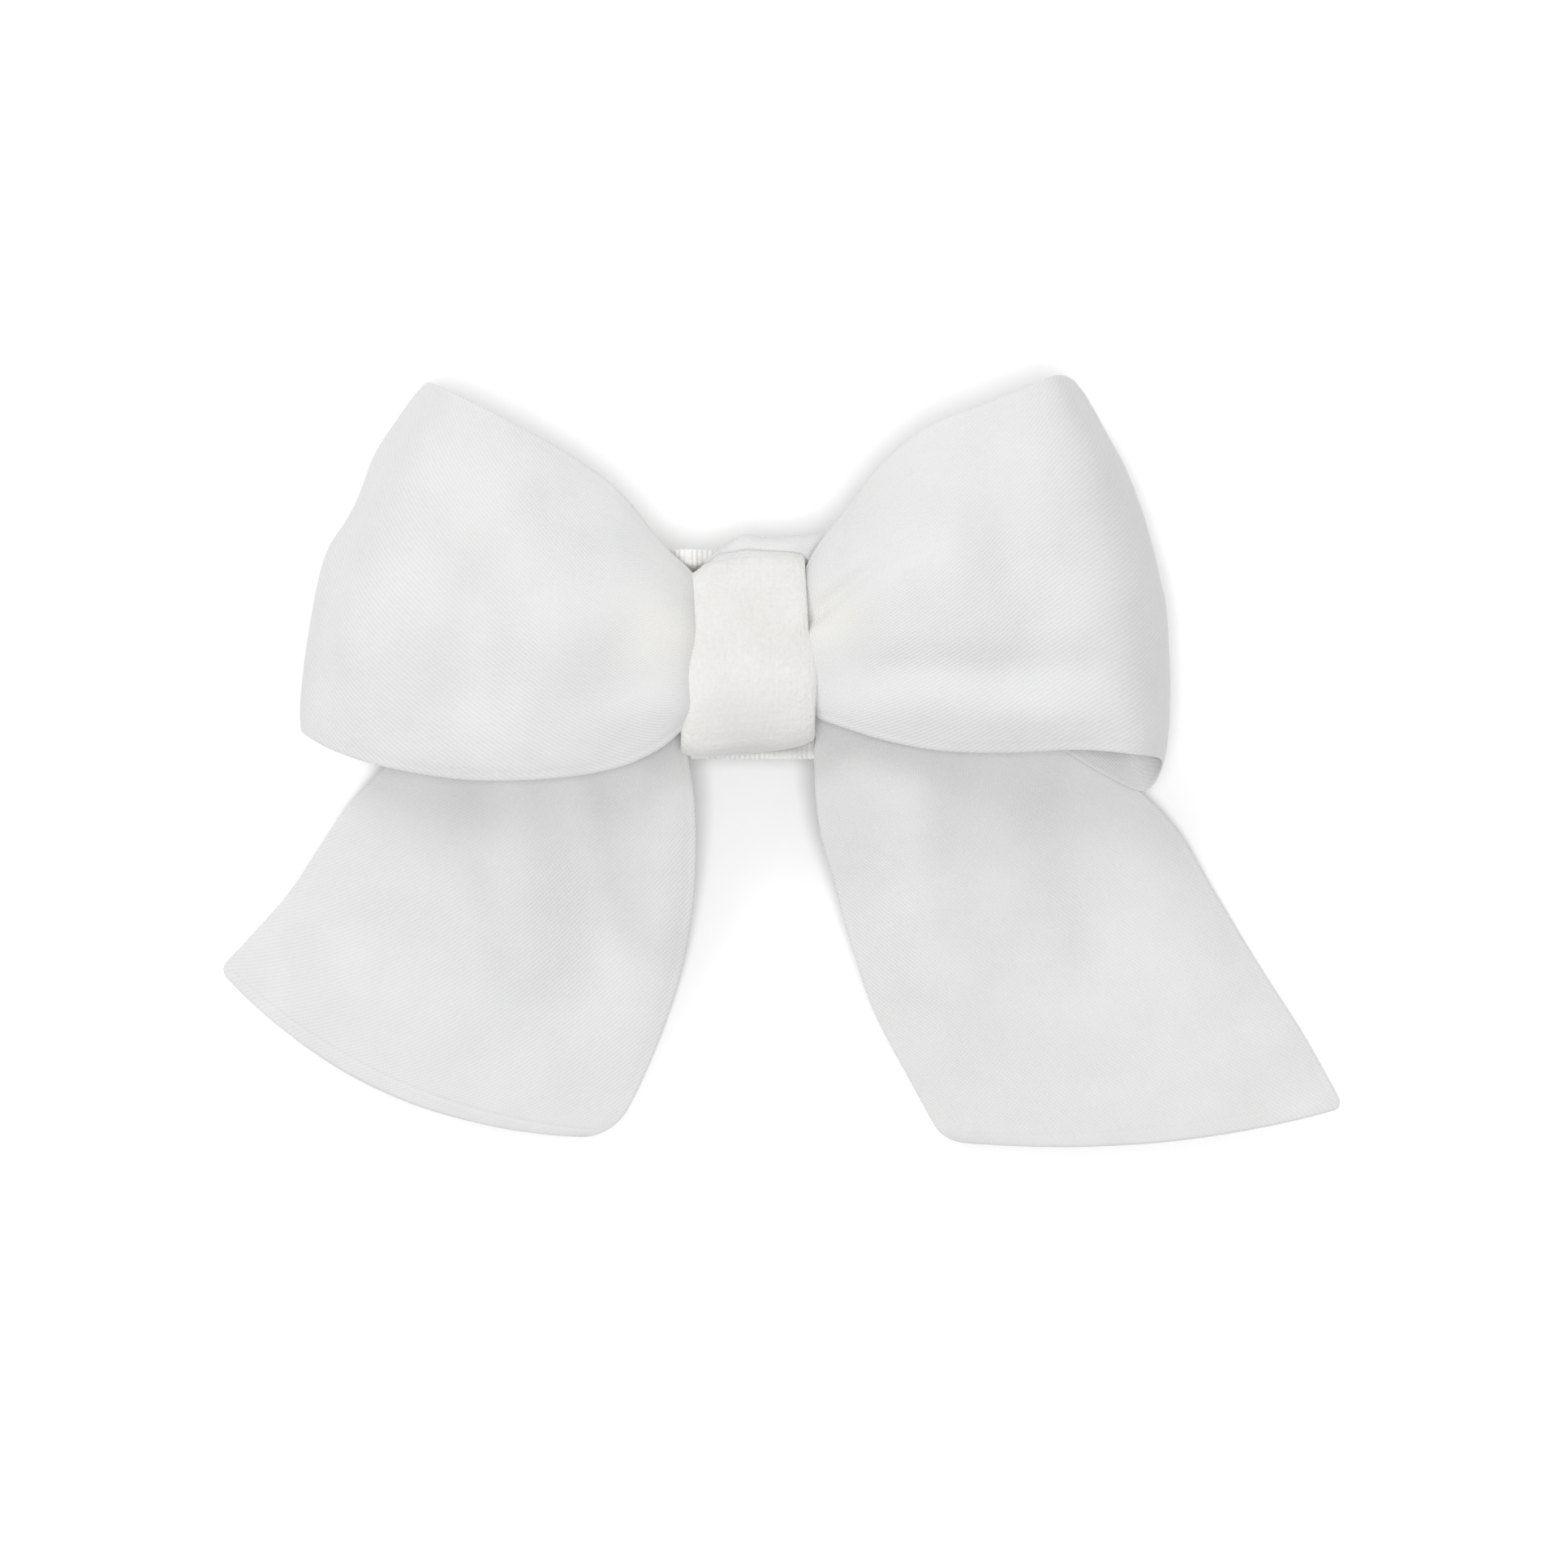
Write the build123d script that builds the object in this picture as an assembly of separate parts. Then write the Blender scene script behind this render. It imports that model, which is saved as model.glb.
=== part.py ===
from build123d import *
import os

# Hair bow on a lined alligator clip, in millimetres.
# +X is to the wearer's right along the clip, +Y runs up the bow, +Z comes out of its front.
# The bow lies on its back on the plane z = 0, with the origin under the middle of its outline.

# ---------------------------------------------------------------- driving dimensions
FABRIC = 1.0                    # a pressed double-ply ribbon tube, as one wall
SURFACE_Z = FABRIC / 2          # middle of a ribbon that lies on the surface
SPLIT = 0.1                     # half the gap between the left and the right gathered ends

KNOT_X = -3.5                   # middle of the knot
KNOT_Y = 11.2
KNOT_WIDTH = 12.6               # along X: the width of the wrap ribbon
KNOT_HEIGHT = 20.6              # along Y
WRAP = 0.9                      # velvet wrap thickness
WRAP_CORNER = 2.6

CLIP_Y = 11.2
CLIP_LEFT = -25.0               # tip of the jaws
CLIP_RIGHT = 18.0               # end of the lever
STEEL = 0.8                     # top arm sheet
JAW_STEEL = 0.6                 # bottom arm sheet
ARM_WIDTH = 8.0
ARM_TOP_Z = 10.2
PIN_X = 4.0
PIN_Z = 6.9
PIN_DIAMETER = 1.6
PIN_HEAD_DIAMETER = 2.6
PIN_HEAD = 0.4
EAR_HALF_LENGTH = 2.2
JAW_HALF_WIDTH = 3.1
RUNNING_GAP = 0.2               # between the two arms' cheeks, and round the pin

LINING = 0.5                    # narrow ribbon glued to the clip
GLUE = 0.3
BACKING = 0.8                   # backing ribbon, folded double
BACKING_WIDTH = 22.2
BACKING_LENGTH = 26.0
STITCH = 0.35
GRIP = 0.5
GRIP_LENGTH = 17.0
GRIP_WIDTH = 6.0
GLUE_LENGTH = 34.0
GLUE_WIDTH = 6.6

TOOTH_GAP = 0.15                # from the tooth tips to the grip strip, jaw closed
TOOTH_PITCH = 2.0
TOOTH_DEPTH = 0.8
TEETH_END_X = -6.0
CHEEK_DIP = (-3.0, 7.2)         # x and z where the cheeks run up from the teeth to the ears
CHEEK_TOP = PIN_Z + 1.5         # top of the cheeks at the pin

# middle line of the bottom arm's sheet: tip, ahead of the pin, behind it, end of the lever
LEVER_END = (CLIP_RIGHT - 0.4, LINING + JAW_STEEL / 2 + 0.1)
JAW_LINE = [(CLIP_LEFT + 0.6, 7.2), (PIN_X - 1.5, 4.6), (PIN_X + 2.0, 4.4), LEVER_END]

SPRING_WIRE = 0.45
SPRING_PITCH = 0.6
SPRING_LEG = 7.0
LEG_UPWARD = 7.5                # degrees each leg leans away from the clip's middle plane
LEG_DOWNWARD = 16.0

THREAD = 0.3
THREAD_TURNS = 5
THREAD_PITCH = 0.5
WAIST_HEIGHT = 12.5             # along Y, over the gathered ribbons
WAIST_Y = 10.4
STITCHES = 7
STITCH_LENGTH = 2.4

# heights of the stack behind the knot, from the clip outwards
LINING_TOP = ARM_TOP_Z + LINING
GLUE_TOP = LINING_TOP + GLUE
BACKING_TOP = GLUE_TOP + BACKING
WRAP_BACK = BACKING_TOP + STITCH
KNOT_FRONT = 20.0

# heights of the gathered ribbons inside the wrap
TAIL_WAIST_Z = WRAP_BACK + WRAP + 0.95
LOOP_BACK_WAIST_Z = TAIL_WAIST_Z + 1.15
LOOP_FRONT_WAIST_Z = LOOP_BACK_WAIST_Z + 2.4

LEFT = 1                        # which way a ribbon leaves the knot
RIGHT = -1


# ---------------------------------------------------------------- ribbons
def between(before, first, second, after, share):
    """A smooth step from `first` to `second`, with its neighbours setting the slopes."""
    squared, cubed = share ** 2, share ** 3
    return (
        before * (2 * squared - cubed - share)
        + first * (3 * cubed - 5 * squared + 2)
        + second * (4 * squared - 3 * cubed + share)
        + after * (cubed - squared)
    ) * 0.5


def refine(values, steps=4):
    """The same values with smooth ones added between them."""
    padded = [values[0]] + values + [values[-1]]
    fine = []
    for index in range(len(values) - 1):
        four = padded[index:index + 4]
        fine += [between(*four, step / steps) for step in range(steps)]
    return fine + [values[-1]]


def ribbon(side, rows):
    """A ribbon wall of even thickness along rows of (edge point, other edge point, crown)."""
    first_edge = refine([Vector(*row[0]) for row in rows])
    second_edge = refine([Vector(*row[1]) for row in rows])
    crowns = refine([row[2] for row in rows])
    middles = [(a + b) * 0.5 for a, b in zip(first_edge, second_edge)]
    slices = []
    for index, start in enumerate(first_edge):
        along = middles[min(index + 1, len(middles) - 1)] - middles[max(index - 1, 0)]
        across = second_edge[index] - start
        outward = across.cross(along) * side
        plane = Plane(origin=start, x_dir=across, z_dir=across.cross(outward))
        crown = (across.length / 2, crowns[index])
        slices.append(plane * trace(Spline((0, 0), crown, (across.length, 0)), FABRIC))
    return loft(slices, ruled=True)


def loop(side, rows, fold):
    """A loop of ribbon: out along the front, round the fold and back along the rear.

    Each row is (lower edge x, y), (upper edge x, y), then the heights of the front wall at
    the lower and upper edge, of the rear wall at the same places, and the two crowns.
    """
    front = []
    rear = []
    for low, high, front_low, front_high, rear_low, rear_high, front_crown, rear_crown in rows:
        front.append(((*low, front_low), (*high, front_high), front_crown))
        rear.append(((*low, rear_low), (*high, rear_high), rear_crown))
    return ribbon(side, front + [fold] + rear[::-1])


def left_loop():
    front, rear = LOOP_FRONT_WAIST_Z, LOOP_BACK_WAIST_Z
    rows = [
        ((KNOT_X - SPLIT, 5.2), (KNOT_X - SPLIT, 15.2), front, front, rear, rear, 0.4, 0.1),
        ((-9.8, 4.2), (-9.8, 19.6), front - 0.3, front - 0.3, rear + 0.1, rear + 0.1, 0.8, -0.1),
        ((-20.0, -0.6), (-19.5, 29.6), 21.6, 21.4, 15.6, 14.6, 3.0, -0.3),
        ((-33.5, -1.6), (-29.5, 35.4), 22.0, 21.4, 12.2, 8.0, 3.4, -0.8),
        ((-45.5, 0.6), (-36.0, 38.6), 16.8, 15.4, 7.0, 1.4, 2.6, 0.4),
    ]
    fold = ((-50.6, 3.2, 11.4), (-38.0, 39.8, 8.2), 3.4)
    return loop(LEFT, rows, fold)


def right_loop():
    front, rear = LOOP_FRONT_WAIST_Z, LOOP_BACK_WAIST_Z
    rows = [
        ((KNOT_X + SPLIT, 5.2), (KNOT_X + SPLIT, 15.2), front, front, rear, rear, 0.4, 0.1),
        ((2.8, 4.2), (2.8, 19.6), front - 0.3, front - 0.3, rear + 0.1, rear + 0.1, 0.8, -0.1),
        ((12.0, 1.8), (10.5, 30.4), 21.6, 21.4, 15.6, 14.6, 3.0, -0.3),
        ((24.0, 0.8), (19.0, 36.4), 22.0, 21.6, 13.0, 9.8, 3.4, -0.8),
        ((35.0, 0.0), (27.0, 39.6), 17.0, 15.8, 7.0, 1.4, 2.6, 0.4),
    ]
    fold = ((39.8, -1.4, 11.4), (30.6, 40.4, 8.4), 4.2)
    return loop(RIGHT, rows, fold)


def below(first, middle, last, depth=30):
    """A slab that removes what lies past a gently curved ribbon end, seen from the front."""
    edge = ThreePointArc(first, middle, last)
    base_y = min(first[1], last[1]) - depth
    sides = Polyline(last, (last[0], base_y), (first[0], base_y), first)
    return extrude(make_face([edge, sides]), depth, dir=(0, 0, 1), both=True)


def left_tail():
    waist = TAIL_WAIST_Z
    rows = [
        ((KNOT_X - SPLIT, 5.6, waist), (KNOT_X - SPLIT, 15.0, waist), 0.05),
        ((-10.2, 3.2, 13.7), (-10.2, 13.2, 13.7), 0.05),
        ((-10.6, 0.6, 13.0), (-22.5, 10.4, 12.7), 0.1),
        ((-10.0, -2.6, 12.4), (-31.0, 5.0, 9.6), 0.9),
        ((-9.4, -7.0, 8.6), (-41.6, 0.6, 3.6), 1.6),
        ((-9.4, -15.0, 4.2), (-47.6, -7.0, 1.6), 2.2),
        ((-12.0, -26.0, 1.6), (-54.4, -15.6, 0.7), 2.0),
        ((-22.0, -43.0, SURFACE_Z), (-61.0, -26.0, SURFACE_Z), 1.2),
    ]
    return ribbon(LEFT, rows) - below((-70.0, -17.5), (-43.0, -35.0), (-14.0, -41.5))


def right_tail():
    waist = TAIL_WAIST_Z
    rows = [
        ((KNOT_X + SPLIT, 5.6, waist), (KNOT_X + SPLIT, 15.0, waist), 0.05),
        ((3.2, 3.2, 13.7), (3.2, 13.2, 13.7), 0.05),
        ((3.8, 0.6, 13.0), (15.5, 10.4, 12.7), 0.1),
        ((3.9, -2.6, 12.4), (23.5, 5.0, 9.6), 0.9),
        ((4.4, -7.0, 8.6), (33.6, 0.2, 4.0), 1.6),
        ((6.2, -15.0, 4.2), (43.4, -8.8, 1.6), 2.2),
        ((9.8, -27.0, 1.6), (53.0, -24.0, 0.7), 2.0),
        ((18.4, -43.0, SURFACE_Z), (63.0, -42.0, SURFACE_Z), 1.2),
    ]
    return ribbon(RIGHT, rows) - below((10.0, -40.8), (38.0, -40.3), (64.0, -35.2))


def backing_ribbon():
    """Grosgrain behind the knot, its two long selvedges showing above and below it."""
    patch = Box(BACKING_LENGTH, BACKING_WIDTH, BACKING)
    return Pos(KNOT_X, KNOT_Y, GLUE_TOP + BACKING / 2) * patch


# ---------------------------------------------------------------- the knot
def rounded_band(height, bottom, top, wall, corner, length):
    """A closed band round the X axis, between two heights, with rounded corners."""
    depth = top - bottom
    outline = RectangleRounded(height, depth, corner)
    hollow = RectangleRounded(height - 2 * wall, depth - 2 * wall, corner - wall)
    facing_x = Plane(origin=(-length / 2, 0, (bottom + top) / 2), x_dir=(0, 1, 0), z_dir=(1, 0, 0))
    return extrude(facing_x * (outline - hollow), length)


def knot_wrap():
    band = rounded_band(KNOT_HEIGHT, WRAP_BACK, KNOT_FRONT, WRAP, WRAP_CORNER, KNOT_WIDTH)
    return Pos(KNOT_X, KNOT_Y, 0) * band


def knot_wrap_stitches():
    """Overcast stitches that close the wrap behind the knot and hold it to the backing."""
    pitch = KNOT_WIDTH / (STITCHES + 1)
    first = KNOT_X - pitch * (STITCHES - 1) / 2
    stitches = []
    for index in range(STITCHES):
        place = Pos(first + index * pitch, KNOT_Y, BACKING_TOP + STITCH / 2)
        stitches.append(place * Box(STITCH, STITCH_LENGTH, STITCH))
    return Compound(stitches)


def gather_thread():
    """Turns of thread wound round the gathered waist, each turn a closed ring."""
    bottom = WRAP_BACK + WRAP + 0.1
    top = LOOP_FRONT_WAIST_Z + 1.3
    ring = rounded_band(WAIST_HEIGHT, bottom, top, THREAD, 0.8, THREAD)
    first = KNOT_X - THREAD_PITCH * (THREAD_TURNS - 1) / 2
    places = [Pos(first + turn * THREAD_PITCH, WAIST_Y, 0) for turn in range(THREAD_TURNS)]
    return Compound([place * ring for place in places])


# ---------------------------------------------------------------- the clip
def across(outline, half_width):
    """Extrude a side view, drawn as x and z, to both sides of the clip's middle plane."""
    side_view = Plane(origin=(0, CLIP_Y, 0), x_dir=(1, 0, 0), z_dir=(0, -1, 0))
    return extrude(side_view * make_face(outline), half_width, both=True)


def sheet(points, thickness, half_width):
    """Bent sheet metal or ribbon along a side-view line of its middle surface."""
    side_view = Plane(origin=(0, CLIP_Y, 0), x_dir=(1, 0, 0), z_dir=(0, -1, 0))
    profile = trace(Polyline(*points), thickness)
    return extrude(side_view * profile, half_width, both=True)


def pin_bore(diameter):
    return Pos(PIN_X, CLIP_Y, PIN_Z) * Rot(90, 0, 0) * Cylinder(diameter / 2, 2 * ARM_WIDTH)


def clip_top_arm():
    """Flat prong with a rounded tip, and two ears that carry the pin."""
    length = CLIP_RIGHT - CLIP_LEFT
    middle = ((CLIP_LEFT + CLIP_RIGHT) / 2, CLIP_Y)
    outline = Pos(*middle, ARM_TOP_Z - STEEL) * RectangleRounded(length, ARM_WIDTH, 3.6)
    arm = extrude(outline, STEEL)
    arm_bottom = ARM_TOP_Z - STEEL
    ear_drop = arm_bottom - PIN_Z
    ear = Pos(PIN_X, CLIP_Y, PIN_Z + ear_drop / 2) * Box(2 * EAR_HALF_LENGTH, ARM_WIDTH, ear_drop)
    ear += Pos(PIN_X, CLIP_Y, PIN_Z) * Rot(90, 0, 0) * Cylinder(EAR_HALF_LENGTH, ARM_WIDTH)
    between_ears = ARM_WIDTH - 2 * STEEL
    ear -= Pos(PIN_X, CLIP_Y, PIN_Z) * Box(4 * EAR_HALF_LENGTH, between_ears, 3 * ear_drop)
    return arm + ear - pin_bore(PIN_DIAMETER)


def toothed_edge(start, stop, height):
    """Saw teeth along the top of a jaw cheek, from its tip towards the pin."""
    points = []
    count = int((stop - start) / TOOTH_PITCH)
    for tooth in range(count):
        x = start + tooth * TOOTH_PITCH
        points.append((x, height))
        points.append((x + TOOTH_PITCH * 0.8, height - TOOTH_DEPTH))
    points.append((start + count * TOOTH_PITCH, height))
    return points


def clip_bottom_arm():
    """Toothed jaw channel and lever in one stamping, swinging on the pin."""
    tooth_tip = ARM_TOP_Z - STEEL - LINING - GRIP - TOOTH_GAP
    jaw = sheet(JAW_LINE[:3], JAW_STEEL, JAW_HALF_WIDTH)
    lever = sheet(JAW_LINE[2:], JAW_STEEL, ARM_WIDTH / 2)
    tip_x, tip_z = JAW_LINE[0]
    teeth = toothed_edge(tip_x, TEETH_END_X, tooth_tip)
    outline = teeth + [
        CHEEK_DIP,
        (PIN_X - 1.8, CHEEK_TOP),
        (PIN_X + 1.2, CHEEK_TOP),
        (PIN_X + 2.4, PIN_Z - 0.6),
        JAW_LINE[2],
        JAW_LINE[1],
        JAW_LINE[0],
    ]
    cheeks = across(Polyline(*outline, close=True), JAW_HALF_WIDTH)
    cheeks -= across(Polyline(*outline, close=True), JAW_HALF_WIDTH - JAW_STEEL)
    lip_x = tip_x + JAW_STEEL / 2
    lip = sheet([(lip_x, tip_z), (lip_x, tooth_tip - 0.3)], JAW_STEEL, JAW_HALF_WIDTH)
    return jaw + lever + cheeks + lip - pin_bore(PIN_DIAMETER + RUNNING_GAP)


def clip_pivot_pin():
    """Pin riveted over the outside of both ears of the top arm."""
    pin = Cylinder(PIN_DIAMETER / 2, ARM_WIDTH + 2 * PIN_HEAD)
    head_middle = (ARM_WIDTH + PIN_HEAD) / 2
    for side in (-1, 1):
        pin += Pos(0, 0, side * head_middle) * Cylinder(PIN_HEAD_DIAMETER / 2, PIN_HEAD)
    return Pos(PIN_X, CLIP_Y, PIN_Z) * Rot(90, 0, 0) * pin


def clip_spring():
    """Torsion spring: a coil round the pin, and a leg pushing on each arm behind it."""
    turns = 3 + (180 - LEG_UPWARD - LEG_DOWNWARD) / 360
    radius = (PIN_DIAMETER + SPRING_WIRE) / 2 + 0.12
    width = SPRING_PITCH * turns
    coil = Helix(SPRING_PITCH, width, radius)
    wire = Circle(SPRING_WIRE / 2)
    spring = sweep(Plane(origin=coil @ 0, z_dir=coil % 0) * wire, coil, is_frenet=True)
    spring = Pos(0, width / 2, 0) * Rot(90, 0, 0) * Rot(0, 0, 90 + LEG_UPWARD) * spring
    for side, tilt in ((1, -LEG_UPWARD), (-1, LEG_DOWNWARD)):
        end = Pos(0, side * width / 2, 0) * Rot(0, tilt, 0)
        end *= Pos(SPRING_LEG / 2, 0, side * radius)
        spring += end * Rot(0, 90, 0) * Cylinder(SPRING_WIRE / 2, SPRING_LEG)
    return Pos(PIN_X, CLIP_Y, PIN_Z) * spring


# ---------------------------------------------------------------- ribbon, glue and grip on the clip
LINING_HALF_WIDTH = ARM_WIDTH / 2 - 0.3


def top_arm_lining():
    """Narrow ribbon glued along the top of the prong, round its tip and back under it."""
    tip = CLIP_LEFT - LINING / 2
    upper = ARM_TOP_Z + LINING / 2
    lower = ARM_TOP_Z - STEEL - LINING / 2
    return sheet([(CLIP_RIGHT, upper), (tip, upper), (tip, lower), (-2.0, lower)],
                 LINING, LINING_HALF_WIDTH)


def bottom_arm_lining():
    """Narrow ribbon glued under the jaw and the lever."""
    offset = (JAW_STEEL + LINING) / 2 + 0.05
    start, under_pin, behind_pin, end = JAW_LINE
    line = [(x, z - offset) for x, z in (start, under_pin, behind_pin, end)]
    return sheet(line, LINING, LINING_HALF_WIDTH)


def grip_strip():
    """Non-slip rubber strip inside the prong, opposite the teeth."""
    middle = (CLIP_LEFT + 1.5 + GRIP_LENGTH / 2, CLIP_Y, ARM_TOP_Z - STEEL - LINING - GRIP / 2)
    return Pos(*middle) * Box(GRIP_LENGTH, GRIP_WIDTH, GRIP)


def glue_pad():
    """Hot-melt bead pressed flat between the lined prong and the backing ribbon."""
    middle = (CLIP_LEFT + CLIP_RIGHT) / 2
    return extrude(Pos(middle, CLIP_Y, LINING_TOP) * SlotOverall(GLUE_LENGTH, GLUE_WIDTH), GLUE)


PARTS = (left_loop, right_loop, left_tail, right_tail, gather_thread, knot_wrap,
         knot_wrap_stitches, backing_ribbon, glue_pad, clip_top_arm, clip_bottom_arm,
         clip_pivot_pin, clip_spring, top_arm_lining, bottom_arm_lining, grip_strip)

os.makedirs("parts", exist_ok=True)
for make in PARTS:
    export_step(make(), os.path.join("parts", make.__name__ + ".step"))
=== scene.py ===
import math

import bmesh
import bpy
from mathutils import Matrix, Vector, noise


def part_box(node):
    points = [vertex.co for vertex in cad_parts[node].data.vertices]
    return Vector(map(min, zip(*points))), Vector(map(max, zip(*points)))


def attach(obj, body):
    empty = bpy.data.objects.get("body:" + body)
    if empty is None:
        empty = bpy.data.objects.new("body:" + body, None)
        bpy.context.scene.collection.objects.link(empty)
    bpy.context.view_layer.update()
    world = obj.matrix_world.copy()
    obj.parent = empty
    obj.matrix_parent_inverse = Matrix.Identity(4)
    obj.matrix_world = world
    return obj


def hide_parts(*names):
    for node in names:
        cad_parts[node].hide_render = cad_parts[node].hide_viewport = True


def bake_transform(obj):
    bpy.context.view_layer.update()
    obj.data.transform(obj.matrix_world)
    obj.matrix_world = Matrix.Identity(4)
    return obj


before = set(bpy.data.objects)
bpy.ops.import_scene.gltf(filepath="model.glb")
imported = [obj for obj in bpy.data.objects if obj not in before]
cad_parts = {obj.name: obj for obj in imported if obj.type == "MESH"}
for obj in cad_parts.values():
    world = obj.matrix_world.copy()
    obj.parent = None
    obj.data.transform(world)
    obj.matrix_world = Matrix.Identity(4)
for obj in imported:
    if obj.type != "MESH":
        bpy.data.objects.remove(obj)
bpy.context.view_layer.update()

MM = 0.001
BOW = "bow"
JAW = "bottom_jaw"
LEFT = 1                 # which way a ribbon leaves the knot
RIGHT = -1
PLY_GAP = 0.75           # a pressed double-ply ribbon tube, in mm across both plies
END_CLOSING = 0.4        # the plies come together over this last stretch of a cut end, in mm
SEAM_INSET = 1.75        # distance of the end seam from the ribbon's end, in mm
SEAM_WIDTH = 0.16
PRESS_INSET = 0.75       # distance of the pressed line from a ribbon's long edge, in mm
PRESS_WIDTH = 0.2
LINING = 0.5             # thickness of the narrow ribbon on the clip, in mm
LINING_PLAY = 0.04       # how much thinner it is made, so that it stays clear of the metal
LINING_PITCH = 0.5       # distance between the ribs of that ribbon, in mm
LINING_RIB = 0.09        # height of its ribs, in mm
THREAD_TWIST = 7.0       # turn of a two-ply thread, in radians for each mm
THREAD_PLY = 0.25        # how much narrower it is between its two plies, as a share

# the places that other pieces are set out from, in mm
WRAP_LOW, WRAP_HIGH = (Vector(corner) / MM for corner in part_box("knot_wrap"))
KNOT = (WRAP_LOW + WRAP_HIGH) / 2
BACKING_LOW, BACKING_HIGH = (Vector(corner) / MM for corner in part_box("backing_ribbon"))
PIN_LOW, PIN_HIGH = (Vector(corner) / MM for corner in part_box("clip_pivot_pin"))
PIN = (PIN_LOW + PIN_HIGH) / 2


# ---------------------------------------------------------------- smooth rows of points
def between(before, first, second, after, share):
    """A smooth step from `first` to `second`, with its neighbours setting the slopes."""
    squared, cubed = share ** 2, share ** 3
    return (
        before * (2 * squared - cubed - share)
        + first * (3 * cubed - 5 * squared + 2)
        + second * (4 * squared - 3 * cubed + share)
        + after * (cubed - squared)
    ) * 0.5


def refine(values, steps):
    """The same values with smooth ones added between them."""
    padded = [values[0]] + values + [values[-1]]
    fine = []
    for index in range(len(values) - 1):
        four = padded[index:index + 4]
        fine += [between(*four, step / steps) for step in range(steps)]
    return fine + [values[-1]]


def smooth(low, high, value):
    """0 below `low`, 1 above `high`, and an easy curve between."""
    share = min(max((value - low) / (high - low), 0.0), 1.0)
    return share * share * (3 - 2 * share)


def bump(x, y, centre, reach, height):
    """A soft round rise: reach is its half-width along X and along Y."""
    across = (x - centre[0]) / reach[0]
    along = (y - centre[1]) / reach[1]
    return height * math.exp(-(across * across + along * along))


def crease(x, y, start, end, width, height):
    """A soft ridge or valley along a line, fading out towards its end."""
    line = Vector((end[0] - start[0], end[1] - start[1]))
    from_start = Vector((x - start[0], y - start[1]))
    share = from_start.dot(line) / line.length_squared
    aside = abs(from_start.cross(line)) / line.length
    fade = smooth(-0.25, 0.15, share) * (1 - smooth(0.55, 1.15, share))
    return height * fade * math.exp(-(aside / width) ** 2)


# ---------------------------------------------------------------- meshes
def new_object(name, points, faces, uvs=None, body=BOW):
    """A mesh from points in mm, with smooth shading and an optional UV for each point."""
    mesh = bpy.data.meshes.new(name)
    mesh.from_pydata([Vector(point) * MM for point in points], [], faces)
    if uvs:
        layer = mesh.uv_layers.new(name="cloth")
        for loop in mesh.loops:
            layer.data[loop.index].uv = uvs[loop.vertex_index]
    mesh.polygons.foreach_set("use_smooth", [True] * len(mesh.polygons))
    mesh.update()
    made = bpy.data.objects.new(name, mesh)
    bpy.context.scene.collection.objects.link(made)
    if body:
        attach(made, body)
    return made


def ring_mesh(rings, closed=False):
    """Faces that join equal rings of points into one skin, capped at its open ends."""
    count = len(rings[0])
    faces = []
    last = len(rings) if closed else len(rings) - 1
    for row in range(last):
        here = row * count
        there = ((row + 1) % len(rings)) * count
        for step in range(count):
            after = (step + 1) % count
            faces.append((here + step, here + after, there + after, there + step))
    if not closed:
        faces.append(tuple(range(count))[::-1])
        end = (len(rings) - 1) * count
        faces.append(tuple(end + step for step in range(count)))
    return faces


def outward_facing(made):
    """Turn all of a closed mesh's faces outwards."""
    work = bmesh.new()
    work.from_mesh(made.data)
    bmesh.ops.recalc_face_normals(work, faces=work.faces)
    work.to_mesh(made.data)
    work.free()
    return made


def flutter(point, size, seed):
    """The slight unevenness of a hand-made soft thing."""
    return noise.noise(Vector((point.x, point.y, point.z)) / size + Vector((seed, seed * 0.7, 0)))


def resampled(values, distances, wanted):
    """Values looked up at wanted distances along a line."""
    found = []
    index = 0
    for place in wanted:
        while index < len(distances) - 2 and distances[index + 1] < place:
            index += 1
        span = distances[index + 1] - distances[index]
        share = (place - distances[index]) / span
        found.append(values[index] * (1 - share) + values[index + 1] * share)
    return found


class Ribbon:
    """Smooth centre rows of a ribbon, evenly spaced and closer together at its cut end."""

    def __init__(self, rows, spacing=0.62, end_length=0.0, end_spacing=0.13):
        edges = [refine([Vector(row[side]) for row in rows], 8) for side in (0, 1)]
        distances = [0.0]
        middles = [(a + b) * 0.5 for a, b in zip(*edges)]
        for before, after in zip(middles, middles[1:]):
            distances.append(distances[-1] + (after - before).length)
        self.length = distances[-1]
        count = int((self.length - end_length) / spacing)
        wanted = [(self.length - end_length) * step / count for step in range(count)]
        if end_length:
            count = int(end_length / end_spacing)
            first = self.length - end_length
            wanted += [first + end_length * step / count for step in range(count)]
        wanted.append(self.length)
        self.distances = wanted
        self.first = resampled(edges[0], distances, wanted)
        self.second = resampled(edges[1], distances, wanted)
        self.crowns = resampled(refine([row[2] for row in rows], 8), distances, wanted)
        self.bows = resampled(refine([row[3] for row in rows], 8), distances, wanted)
        self.width = max((a - b).length for a, b in zip(self.first, self.second))

    def frame(self, index, side):
        """Start of a row, the way across it, along it and out of it."""
        last = len(self.first) - 1
        before, after = max(index - 1, 0), min(index + 1, last)
        across = self.second[index] - self.first[index]
        along = self.first[after] + self.second[after] - self.first[before] - self.second[before]
        outward = across.cross(along).normalized() * side
        forward = outward.cross(across).normalized() * side
        return self.first[index], across, forward, outward


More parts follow.
